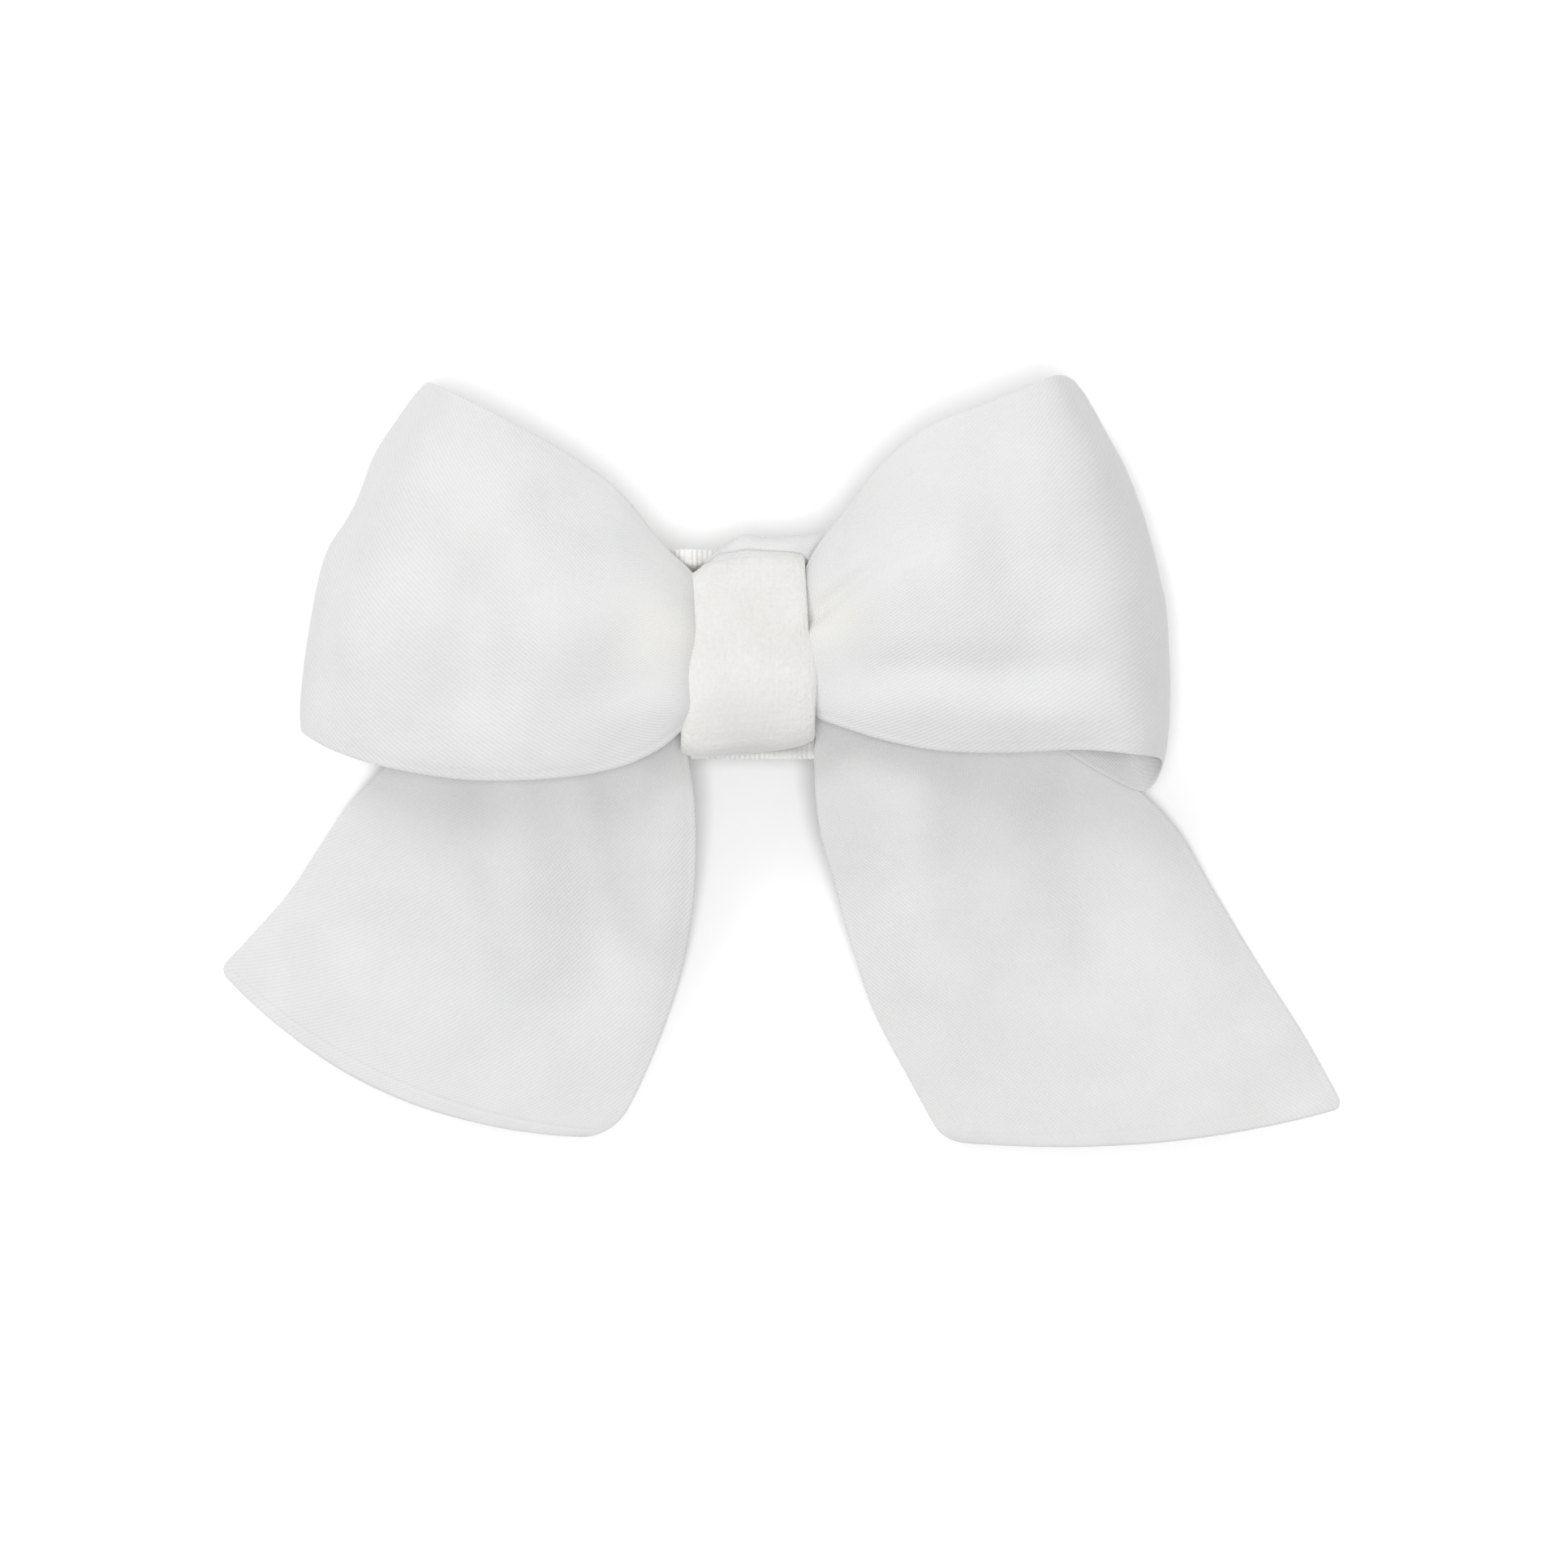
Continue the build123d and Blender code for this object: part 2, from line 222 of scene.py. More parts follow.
def cloth_ribbon(name, side, ribbon, relief, seed, seam=None, corners=(0.0, 0.0), half_wide=54):
    """A double-ply ribbon tube over a ribbon's rows, with folds, soft edges and an end seam.

    relief(x, y, share, place) is the height of the folds: share runs from 0 at the ribbon's
    start to 1 at its end, and place from 0 to 1 across it. seam is the depth of the end seam,
    or None where the end is hidden, and corners are the roundings of the end's two corners.
    """
    rings = []
    uvs = []
    for index, travelled in enumerate(ribbon.distances):
        start, across, forward, outward = ribbon.frame(index, side)
        share = travelled / ribbon.length
        left = ribbon.length - travelled
        trims = []
        for corner in corners:
            inside = max(1 - left / corner, 0.0) if corner else 0.0
            trims.append(corner / across.length * (1 - math.sqrt(1 - inside ** 2)))
        closing = 1.0
        if seam is not None:
            closing = math.sqrt(max(1 - (1 - min(left / END_CLOSING, 1.0)) ** 2, 0.02))
            closing *= 1 - seam * math.exp(-((left - SEAM_INSET) / SEAM_WIDTH) ** 2)
        ring = []
        for ply in (1, -1):
            for step in range(half_wide):
                turn = 0.5 - 0.5 * math.cos(math.pi * step / half_wide)
                place = turn if ply > 0 else 1 - turn
                swell = 4 * place * (1 - place)
                squeezed = trims[0] + place * (1 - trims[0] - trims[1])
                base = start + across * squeezed + forward * (ribbon.bows[index] * swell)
                base += outward * (ribbon.crowns[index] * swell)
                lift = relief(base.x, base.y, share, place)
                lift += 0.2 * flutter(base, 6.0, seed) + 0.05 * flutter(base, 2.1, seed + 9)
                rim = math.sqrt(max(1 - abs(2 * place - 1) ** 12, 0.0))
                edge_gap = min(place, 1 - place) * across.length
                rim *= 1 - 0.3 * math.exp(-((edge_gap - PRESS_INSET) / PRESS_WIDTH) ** 2)
                ring.append(base + outward * (lift + ply * PLY_GAP / 2 * rim * closing))
                uvs.append((travelled, place * ribbon.width))
        rings.append(ring)
    points = [point for ring in rings for point in ring]
    return outward_facing(new_object(name, points, ring_mesh(rings), uvs))


# ---------------------------------------------------------------- the bow's fabric
def pleats(place, share, reach, height, count, phase):
    """Gathers that run out of the knot and fade away along the ribbon."""
    fade = (1 - smooth(0.0, reach, share)) * smooth(0.0, 0.02, share)
    edge = smooth(0.0, 0.12, place) * (1 - smooth(0.88, 1.0, place))
    return height * fade * edge * math.sin(count * 2 * math.pi * place + phase)


def loop_rows(fronts, fold, rears):
    """Rows out along a loop's front wall, round its fold and back along its rear wall."""
    rows = [((*low, low_z), (*high, high_z), crown, 0.0)
            for low, high, low_z, high_z, crown in fronts]
    rows.append((*fold, 0.0))
    rows += [((*low, low_z), (*high, high_z), crown, 0.0)
             for low, high, low_z, high_z, crown in rears[::-1]]
    return rows


def left_loop():
    """The left loop, with a lens-shaped fold out of the knot and a dent across it."""
    fronts = [
        ((-3.6, 5.2), (-3.6, 15.2), 17.5, 17.5, 0.4),
        ((-8.8, 4.8), (-9.1, 19.4), 18.4, 18.4, 0.9),
        ((-10.6, 3.0), (-10.9, 21.1), 19.1, 19.1, 1.5),
        ((-13.0, 1.0), (-13.2, 23.6), 19.3, 19.5, 2.1),
        ((-17.4, -0.9), (-17.4, 28.6), 18.8, 19.9, 2.9),
        ((-24.0, -2.0), (-23.0, 32.6), 18.2, 20.2, 4.0),
        ((-33.0, -2.2), (-29.0, 35.9), 17.8, 20.2, 4.4),
        ((-41.6, -0.9), (-33.8, 38.4), 16.8, 18.4, 4.1),
        ((-47.8, 1.0), (-36.6, 39.9), 14.6, 14.6, 3.6),
    ]
    rears = [
        ((-3.6, 5.2), (-3.6, 15.2), 15.15, 15.15, 0.1),
        ((-9.6, 4.6), (-9.6, 19.2), 15.2, 15.2, -0.1),
        ((-20.0, -0.9), (-19.3, 29.4), 15.6, 14.6, -0.3),
        ((-33.5, -1.7), (-29.4, 35.2), 12.4, 8.0, -0.8),
        ((-45.5, 1.0), (-36.0, 38.8), 7.0, 2.0, 0.2),
    ]
    fold = ((-51.2, 3.0, 11.6), (-38.0, 40.5, 9.0), 3.2)
    kink = -1.0          # the fold's outline is dented here and swells a little beside it

    def relief(x, y, share, place):
        dent = math.exp(-((place - 0.62) / 0.1) ** 2)
        swell = 0.5 * math.exp(-((place - 0.45) / 0.09) ** 2)
        outline = kink * math.exp(-((share - 0.5) / 0.035) ** 2) * (dent - swell)
        if share > 0.5:
            return outline + pleats(place, 1 - share, 0.16, 0.25, 3, 1.0)
        height = outline + pleats(place, share, 0.14, 0.35, 2.2, 0.4)
        height += crease(x, y, (-10.5, 18.4), (-29.0, 12.0), 5.0, 1.7)
        height += crease(x, y, (-12.5, 25.0), (-29.0, 26.0), 3.6, -1.7)
        height += crease(x, y, (-32.6, 4.0), (-32.0, 24.0), 4.2, -1.5)
        height += bump(x, y, (-43.0, 14.0), (5.0, 10.0), 0.8)
        height += crease(x, y, (-10.0, 6.5), (-22.0, 2.5), 2.4, 0.6)
        return height

    ribbon = Ribbon(loop_rows(fronts, fold, rears))
    return cloth_ribbon("left_loop_fabric", LEFT, ribbon, relief, 3.0)


def right_loop():
    """The right loop, whose rear wall shows a little beyond its front wall at the bottom."""
    fronts = [
        ((-3.4, 5.2), (-3.4, 15.2), 17.5, 17.5, 0.4),
        ((2.6, 4.9), (2.0, 19.6), 17.6, 18.4, 0.9),
        ((4.2, 4.2), (3.7, 22.4), 18.4, 19.0, 1.5),
        ((6.8, 3.3), (6.6, 26.2), 18.8, 19.2, 2.0),
        ((11.0, 2.0), (10.8, 31.4), 19.0, 19.6, 2.8),
        ((17.0, 0.9), (15.6, 35.2), 18.2, 20.2, 4.0),
        ((24.0, 0.7), (20.6, 37.2), 18.0, 20.4, 4.4),
        ((31.6, 1.0), (25.6, 39.2), 18.2, 20.2, 4.2),
        ((37.6, 0.5), (29.4, 40.8), 17.0, 17.6, 3.5),
    ]
    rears = [
        ((-3.4, 5.2), (-3.4, 15.2), 15.15, 15.15, 0.1),
        ((3.0, 4.6), (3.0, 19.6), 15.2, 15.2, -0.1),
        ((12.0, 2.2), (10.6, 30.4), 15.6, 14.6, -0.3),
        ((22.0, 1.2), (17.6, 35.8), 13.6, 10.4, -0.8),
        ((29.0, 1.4), (22.0, 37.6), 11.2, 7.2, -0.5),
        ((34.6, -1.5), (25.6, 39.0), 9.2, 4.4, 0.0),
        ((39.2, -3.4), (28.8, 40.2), 8.2, 2.8, 0.9),
    ]
    fold = ((40.9, -0.3, 11.4), (31.4, 40.5, 9.0), 3.9)

    def relief(x, y, share, place):
        if share > 0.5:
            return pleats(place, 1 - share, 0.16, 0.25, 3, 2.0)
        height = pleats(place, share, 0.14, 0.3, 2.2, 2.2)
        height += crease(x, y, (6.5, 18.0), (21.5, 23.0), 4.6, 1.1)
        height += crease(x, y, (17.0, 24.0), (22.5, 8.0), 4.2, 0.7)
        height += crease(x, y, (28.0, 22.0), (27.0, 6.0), 4.6, -0.9)
        height += crease(x, y, (10.0, 9.6), (38.0, 9.6), 2.2, -0.7)
        height += crease(x, y, (8.0, 5.4), (38.0, 4.8), 2.4, 0.6)
        height += crease(x, y, (3.0, 14.8), (11.5, 21.6), 0.9, -0.8)
        height += bump(x, y, (21.0, 33.0), (4.5, 3.0), -0.6)
        return height

    ribbon = Ribbon(loop_rows(fronts, fold, rears))
    return cloth_ribbon("right_loop_fabric", RIGHT, ribbon, relief, 11.0)


def left_tail():
    """The left tail, with a long fold down its middle and a hollow beside it."""
    rows = [
        ((-3.6, 5.6, 14.0), (-3.6, 15.0, 14.0), 0.05, 0.0),
        ((-9.9, 3.2, 13.7), (-10.2, 13.2, 13.7), 0.05, 0.0),
        ((-9.9, 0.6, 13.0), (-22.5, 10.4, 12.7), 0.1, 0.0),
        ((-9.3, -3.6, 13.0), (-32.0, 5.2, 11.2), 0.7, 0.0),
        ((-9.1, -9.0, 11.0), (-40.4, 1.2, 7.6), 1.3, 0.0),
        ((-9.5, -15.5, 7.4), (-46.2, -4.0, 4.8), 1.8, 0.6),
        ((-10.6, -22.0, 4.0), (-50.4, -9.7, 2.6), 2.0, 1.4),
        ((-12.7, -28.8, 1.9), (-53.8, -14.6, 1.3), 1.9, 2.6),
        ((-15.6, -35.8, 1.1), (-57.9, -19.2, 0.9), 1.5, 3.6),
        ((-19.3, -42.7, 0.7), (-61.9, -23.4, 0.7), 1.1, 4.0),
    ]

    def relief(x, y, share, place):
        height = pleats(place, share, 0.3, 0.35, 2.5, 0.8)
        height += crease(x, y, (-31.0, 6.0), (-27.0, -28.0), 4.4, 2.0)
        height += crease(x, y, (-23.5, 2.0), (-18.0, -27.0), 3.6, -1.5)
        height += crease(x, y, (-12.0, -1.0), (-14.0, -30.0), 2.4, 0.7)
        height += bump(x, y, (-46.0, -22.0), (7.0, 5.0), -0.4)
        return height

    ribbon = Ribbon(rows, end_length=3.2)
    return cloth_ribbon("left_tail_fabric", LEFT, ribbon, relief, 21.0,
                        seam=0.2, corners=(4.6, 2.2))


def right_tail():
    """The right tail, puckered along the inner half of its end."""
    rows = [
        ((-3.4, 5.6, 14.0), (-3.4, 15.0, 14.0), 0.05, 0.0),
        ((3.1, 3.2, 13.7), (3.2, 13.2, 13.7), 0.05, 0.0),
        ((3.4, 0.6, 13.0), (15.5, 10.4, 12.7), 0.1, 0.0),
        ((3.6, -3.2, 13.0), (25.0, 5.0, 11.2), 0.7, 0.0),
        ((4.2, -8.0, 11.0), (35.0, -0.6, 7.4), 1.3, 0.0),
        ((5.8, -13.6, 8.0), (42.4, -6.8, 4.0), 1.8, 0.3),
        ((7.7, -20.4, 5.8), (47.2, -14.5, 2.4), 2.0, 0.6),
        ((10.2, -27.6, 3.8), (52.0, -22.2, 1.4), 1.9, 1.0),
        ((14.0, -34.8, 2.4), (56.9, -29.8, 1.2), 1.6, 1.4),
        ((17.9, -42.0, 1.2), (61.6, -38.2, 1.2), 1.3, 1.6),
    ]

    def relief(x, y, share, place):
        height = pleats(place, share, 0.3, 0.35, 2.5, 2.4)
        height += crease(x, y, (13.0, 0.0), (20.0, -34.0), 4.6, 1.2)
        height += crease(x, y, (30.0, -2.0), (36.0, -26.0), 5.0, -1.6)
        height += crease(x, y, (38.0, -8.0), (50.0, -34.0), 4.5, 0.5)
        pucker = math.exp(-((y + 40.0) / 2.2) ** 2) * (1 - smooth(30.0, 36.0, x))
        return height + 0.16 * pucker * math.sin(x * 1.9) * smooth(16.0, 19.0, x)

    ribbon = Ribbon(rows, end_length=3.2)
    return cloth_ribbon("right_tail_fabric", RIGHT, ribbon, relief, 31.0,
                        seam=0.04, corners=(2.6, 1.6))


# ---------------------------------------------------------------- tubes, bands and strips
def tube(name, path, radius, around=10, twist=0.0, ply=0.0, body=BOW):
    """A round wire or twisted thread along a path, with closed ends."""
    rings = []
    turn = 0.0
    side = None
    for index, point in enumerate(path):
        before, after = path[max(index - 1, 0)], path[min(index + 1, len(path) - 1)]
        along = (after - before).normalized()
        if side is None:
            side = along.orthogonal().normalized()
        side = (side - along * side.dot(along)).normalized()
        other = along.cross(side)
        if index:
            turn += (point - path[index - 1]).length * twist
        ring = []
        for step in range(around):
            angle = 2 * math.pi * step / around
            reach = radius * (1 - ply + ply * abs(math.cos(angle + turn)))
            ring.append(point + side * (reach * math.cos(angle)) + other * (reach * math.sin(angle)))
        rings.append(ring)
    points = [point for ring in rings for point in ring]
    made = new_object(name, points, ring_mesh(rings), body=None)
    outward_facing(made)
    if body:
        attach(made, body)
    return made


def rounded_outline(half_width, half_height, power, count):
    """Points round a soft-cornered rectangle, as pairs, from its right side anticlockwise."""
    outline = []
    for step in range(count):
        angle = 2 * math.pi * step / count
        cosine, sine = math.cos(angle), math.sin(angle)
        outline.append((
            half_width * math.copysign(abs(cosine) ** (2 / power), cosine),
            half_height * math.copysign(abs(sine) ** (2 / power), sine),
        ))
    return outline


def along_line(points, spacing):
    """Evenly spaced points along a bent line, its corners rounded a little."""
    path = [Vector(point) for point in points]
    for _ in range(2):
        cut = [path[0]]
        for before, after in zip(path, path[1:]):
            length = (after - before).length
            ease = min(0.25, 0.6 / length)
            cut += [before.lerp(after, ease), before.lerp(after, 1 - ease)]
        path = cut + [path[-1]]
    distances = [0.0]
    for before, after in zip(path, path[1:]):
        distances.append(distances[-1] + max((after - before).length, 1e-6))
    count = max(int(distances[-1] / spacing), 2)
    wanted = [distances[-1] * step / count for step in range(count + 1)]
    return resampled(path, distances, wanted)


def ribbed_strip(name, line, half_width, thickness, pitch, depth, body, middle_y):
    """A narrow ribbed ribbon along a side-view line of (x, z) points, ribs running across it."""
    path = along_line([(x, 0.0, z) for x, z in line], pitch / 6)
    rings = []
    travelled = 0.0
    uvs = []
    selvedge_inset, selvedge_width = 0.45, 0.12
    for index, point in enumerate(path):
        before, after = path[max(index - 1, 0)], path[min(index + 1, len(path) - 1)]
        along = (after - before).normalized()
        normal = Vector((-along.z, 0.0, along.x))
        if index:
            travelled += (point - path[index - 1]).length
        rib = depth * (0.5 + 0.5 * math.cos(2 * math.pi * travelled / pitch))
        half = thickness / 2 - depth + rib
        ring = []
        for across, up in rounded_outline(half_width, half, 7, 28):
            from_edge = half_width - abs(across)
            selvedge = 1 - 0.25 * math.exp(-((from_edge - selvedge_inset) / selvedge_width) ** 2)
            wander = 0.05 * flutter(point, 4.0, half_width)
            ring.append(point + Vector((0.0, middle_y + across + wander, 0.0)) + normal * (up * selvedge))
            uvs.append((travelled, across))
        rings.append(ring)
    points = [point for ring in rings for point in ring]
    return outward_facing(new_object(name, points, ring_mesh(rings), uvs, body))


# ---------------------------------------------------------------- the knot
def knot_wrap():
    """Velvet band round the waist, swelling a little, with a small fold along its top."""
    around = 300
    across = 148
    half_thickness = 0.44
    corner_cut = 2.7         # how far the wrap's top left corner is drawn in
    half_width = (WRAP_HIGH.x - WRAP_LOW.x) / 2
    half_height = (WRAP_HIGH.y - WRAP_LOW.y) / 2 - 0.85
    half_depth = (WRAP_HIGH.z - WRAP_LOW.z) / 2 - 0.35
    middle_x, middle_y = KNOT.x - 0.1, KNOT.y
    outline = rounded_outline(half_height, half_depth, 4.0, around)
    rings = []
    for index, (out_y, out_z) in enumerate(outline):
        before, after = outline[index - 1], outline[(index + 1) % around]
        normal = Vector((0.0, after[1] - before[1], before[0] - after[0])).normalized()
        front = smooth(-0.1, 0.5, out_z / half_depth)
        ring = []
        for step in range(across):
            angle = 2 * math.pi * step / across
            cosine, sine = math.cos(angle), math.sin(angle)
            over = math.copysign(abs(cosine) ** 0.16, cosine)
            wander = 0.22 * math.sin(out_y * 0.31 + 1.2)
            right_edge = (0.6 - 1.1 * smooth(0.5, 2.5, out_y)) * smooth(0.5, 1.0, over)
            corner = corner_cut * smooth(7.2, 9.8, out_y) * smooth(0.2, 1.0, -over)
            x = middle_x + over * (half_width + 0.5) + (wander + right_edge) * front + corner
            lean = 0.1 * (x - KNOT.x) * smooth(2.0, -9.0, out_y)
            point = Vector((x, middle_y + out_y + lean, KNOT.z + out_z))
            outer = smooth(-0.2, 0.3, sine)
            crisp = smooth(-0.2, 0.6, over) * smooth(1.0, 3.5, out_y)
            swell = 0.9 - 0.8 * over ** 4 * (1 - 0.75 * crisp)
            fold = crease(x, out_y, (-8.6, 9.6), (-3.0, 8.3), 0.35, -0.5)
            fold += crease(x, out_y, (-7.5, 9.9), (1.5, 9.2), 0.9, 0.35)
            lift = half_thickness * math.copysign(abs(sine) ** 0.6, sine)
            lift += swell * front + (fold * front + 0.14 * flutter(point, 4.5, 4.0)) * outer
            pile = noise.noise(point * 2.4) * 0.04 + noise.noise(point * 6.5) * 0.05
            ring.append(point + normal * (lift + pile * (0.4 + 0.6 * outer)))
        rings.append(ring)
    points = [point for ring in rings for point in ring]
    return outward_facing(new_object("knot_wrap_velvet", points, ring_mesh(rings, closed=True)))


def gathered_hump():
    """Where the tails' ribbon is folded over and puffs up behind the top of the knot."""
    left_end, length = -8.4, 16.4
    bottom, low_top, puff = 19.4, 21.2, 2.7
    half_depth = 2.1
    middle_z = 14.9
    count = 64
    rings = []
    uvs = []
    for index in range(count + 1):
        share = index / count
        x = left_end + length * share
        rise = smooth(-0.06, 0.32, share)
        top = low_top + puff * rise + 0.2 * math.sin(share * 9.0)
        slim = 0.3 + 0.7 * math.sin(math.pi * (0.06 + 0.88 * share)) ** 0.5
        middle = Vector((x, (top + bottom) / 2, middle_z))
        ring = []
        for out_y, out_z in rounded_outline((top - bottom) / 2, half_depth * slim, 2.4, 40):
            point = middle + Vector((0.0, out_y, out_z))
            fold = 0.1 * math.sin(x * 1.1 + out_z * 0.5) + 0.12 * flutter(point, 3.4, 5.0)
            ring.append(point + Vector((0.0, out_y, out_z)).normalized() * fold * slim)
            uvs.append((x, out_y * 2))
        rings.append(ring)
    points = [point for ring in rings for point in ring]
    return outward_facing(new_object("tail_ribbon_gather", points, ring_mesh(rings), uvs))


def backing():
    """Grosgrain patch, its ribs running up and down and a corded selvedge at each long edge."""
    pitch = 0.52
    rib_depth = 0.12
    per_rib = 6
    upper_curl, lower_curl = 5.4, 2.9      # how far its selvedges stand forward at the knot's edges
    width = BACKING_HIGH.x - BACKING_LOW.x
    count = int(width / pitch) * per_rib
    middle = (BACKING_LOW + BACKING_HIGH) / 2
    half_height = (BACKING_HIGH.y - BACKING_LOW.y) / 2
    half_depth = (BACKING_HIGH.z - BACKING_LOW.z) / 2
    rings = []
    for index in range(count + 1):
        x = BACKING_LOW.x + width * index / count
        rib = 0.5 + 0.5 * math.cos(2 * math.pi * index / per_rib)
        ring = []
        half = half_depth - rib_depth + rib_depth * rib
        for across, up in rounded_outline(half_height, half, 8, 72):
            from_edge = half_height - abs(across)
            groove = 1 - 0.35 * math.exp(-((from_edge - 1.1) / 0.16) ** 2)
            scallop = 0.07 * rib * smooth(1.0, 0.0, from_edge)
            curl = smooth(-4.8, -1.2, across - half_height) * bump(x, 0, (-9.8, 0), (3.6, 1), upper_curl)
            curl += smooth(3.2, 0.0, across + half_height) * bump(x, 0, (0.0, 0), (4.2, 1), lower_curl)
            point = Vector((x, middle.y + across + math.copysign(scallop, across), middle.z))
            ring.append(point + Vector((0.0, 0.0, up * groove + curl)))
        rings.append(ring)
    points = [point for ring in rings for point in ring]
    return outward_facing(new_object("backing_grosgrain", points, ring_mesh(rings)))


def gather_thread():
    """Turns of two-ply thread wound round the waist."""
    low, high = (Vector(corner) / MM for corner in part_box("gather_thread"))
    middle = (low + high) / 2
    turns = 5
    thread = 0.3
    pitch = (high.x - low.x - thread) / (turns - 1)
    half_height = (high.y - low.y - thread) / 2
    half_depth = (high.z - low.z - thread) / 2
    per_turn = 180
    outline = rounded_outline(half_height, half_depth, 8, per_turn)
    path = []
    for turn in range(turns):
        for step, (y, z) in enumerate(outline):
            along = 0.98 * pitch * (turn + step / per_turn - turns / 2)
            path.append(middle + Vector((along, y, z)))
    return tube("gather_thread_winding", path, thread / 2, twist=THREAD_TWIST, ply=THREAD_PLY)


def wrap_stitches():
    """Overcast stitches that close the wrap behind the knot."""
    low, high = (Vector(corner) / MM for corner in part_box("knot_wrap_stitches"))
    count = 7
    radius = 0.16
    slant = 0.5
    sunk = 0.12
    steps = 24
    made = []
    for index in range(count):
        share = index / (count - 1)
        x = low.x + radius + (high.x - low.x - 2 * radius) * share
        path = []
        for step in range(steps + 1):
            along = step / steps
            arch = math.sin(math.pi * along)
            place = Vector((x + slant * (along - 0.5), low.y + (high.y - low.y) * along, 0.0))
            place.z = high.z - sunk - (high.z - low.z - 2 * radius) * arch
            path.append(place)
        stitch = tube(f"wrap_stitch_{index + 1}", path, radius, twist=THREAD_TWIST, ply=THREAD_PLY)
        made.append(stitch)
    return made


# ---------------------------------------------------------------- behind the knot
def glue_pad():
    """Hot-melt bead pressed into an uneven oval."""
    low, high = (Vector(corner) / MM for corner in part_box("glue_pad"))
    middle = (low + high) / 2
    half_length = (high.x - low.x) / 2 - 0.4
    half_width = (high.y - low.y) / 2 - 0.3
    layers = ((0.0, 0.9), (0.06, 0.97), (0.3, 1.0), (0.7, 1.0), (0.94, 0.97), (1.0, 0.9))
    rings = []
    for share, scale in layers:
        ring = []
        for x, y in rounded_outline(half_length, half_width, 2.8, 150):
            point = Vector((middle.x + x * scale, middle.y + y * scale, low.z))
            point.z += (high.z - low.z) * share
            spread = 0.35 * flutter(Vector((x, y, 0)), 3.2, 2.0)
            ring.append(point + Vector((x / half_length, y / half_width, 0)) * spread)
        rings.append(ring)
    points = [point for ring in rings for point in ring]
    return outward_facing(new_object("glue_bead", points, ring_mesh(rings)))


def top_lining():
    """Ribbon along the top of the prong, round its tip and back under it."""
    low, high = (Vector(corner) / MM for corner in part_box("top_arm_lining"))
    half = LINING / 2
    under_end = -2.0
    line = [(high.x, high.z - half), (low.x + half, high.z - half),
            (low.x + half, low.z + half), (under_end, low.z + half)]
    return ribbed_strip("top_lining_ribbon", line, (high.y - low.y) / 2, LINING - LINING_PLAY,
                        LINING_PITCH, LINING_RIB, BOW, (low.y + high.y) / 2)


def bottom_lining():
    """Ribbon under the jaw and its lever."""
    low, high = (Vector(corner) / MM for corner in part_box("bottom_arm_lining"))
    half = LINING / 2
    line = [(low.x, high.z - half), (PIN.x - 1.5, 4.0), (PIN.x + 2.0, 3.8),
            (high.x, low.z + half)]
    return ribbed_strip("bottom_lining_ribbon", line, (high.y - low.y) / 2, LINING - LINING_PLAY,
                        LINING_PITCH, LINING_RIB, JAW, (low.y + high.y) / 2)


def grip_strip():
    """Rubber strip with low ribs across it."""
    low, high = (Vector(corner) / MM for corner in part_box("grip_strip"))
    middle = (low + high) / 2
    pitch, rib = 1.0, 0.16
    line = [(low.x, middle.z), (high.x, middle.z)]
    return ribbed_strip("grip_rubber_strip", line, (high.y - low.y) / 2, high.z - low.z,
                        pitch, rib, BOW, middle.y)


def pivot_spring():
    """Torsion spring: leg on the lever, coil round the pin, leg on the top arm."""
    wire_radius = 0.225
    coil_radius = 1.145
    leg = 7.0
    upper_lean = math.radians(7.5)
    lower_lean = math.radians(16.0)
    turns = 3 + (math.pi - upper_lean - lower_lean) / (2 * math.pi)
    half_width = 0.3 * turns
    start_angle = 1.5 * math.pi - lower_lean
    steps_per_turn = 44
    steps = int(turns * steps_per_turn)
    coil = []
    for step in range(steps + 1):
        share = step / steps
        angle = start_angle - turns * 2 * math.pi * share
        offset = Vector((math.cos(angle), 0.0, math.sin(angle))) * coil_radius
        coil.append(PIN + offset + Vector((0.0, (2 * share - 1) * half_width, 0.0)))
    lower = Vector((math.cos(lower_lean), 0.0, -math.sin(lower_lean))) * leg
    upper = Vector((math.cos(upper_lean), 0.0, math.sin(upper_lean))) * leg
    legs = 16
    path = [coil[0] + lower * (1 - step / legs) for step in range(legs)]
    path += coil
    path += [coil[-1] + upper * (step / legs) for step in range(1, legs + 1)]
    spring = tube("pivot_spring_wire", path, wire_radius, around=12, body=None)
    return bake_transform(spring)


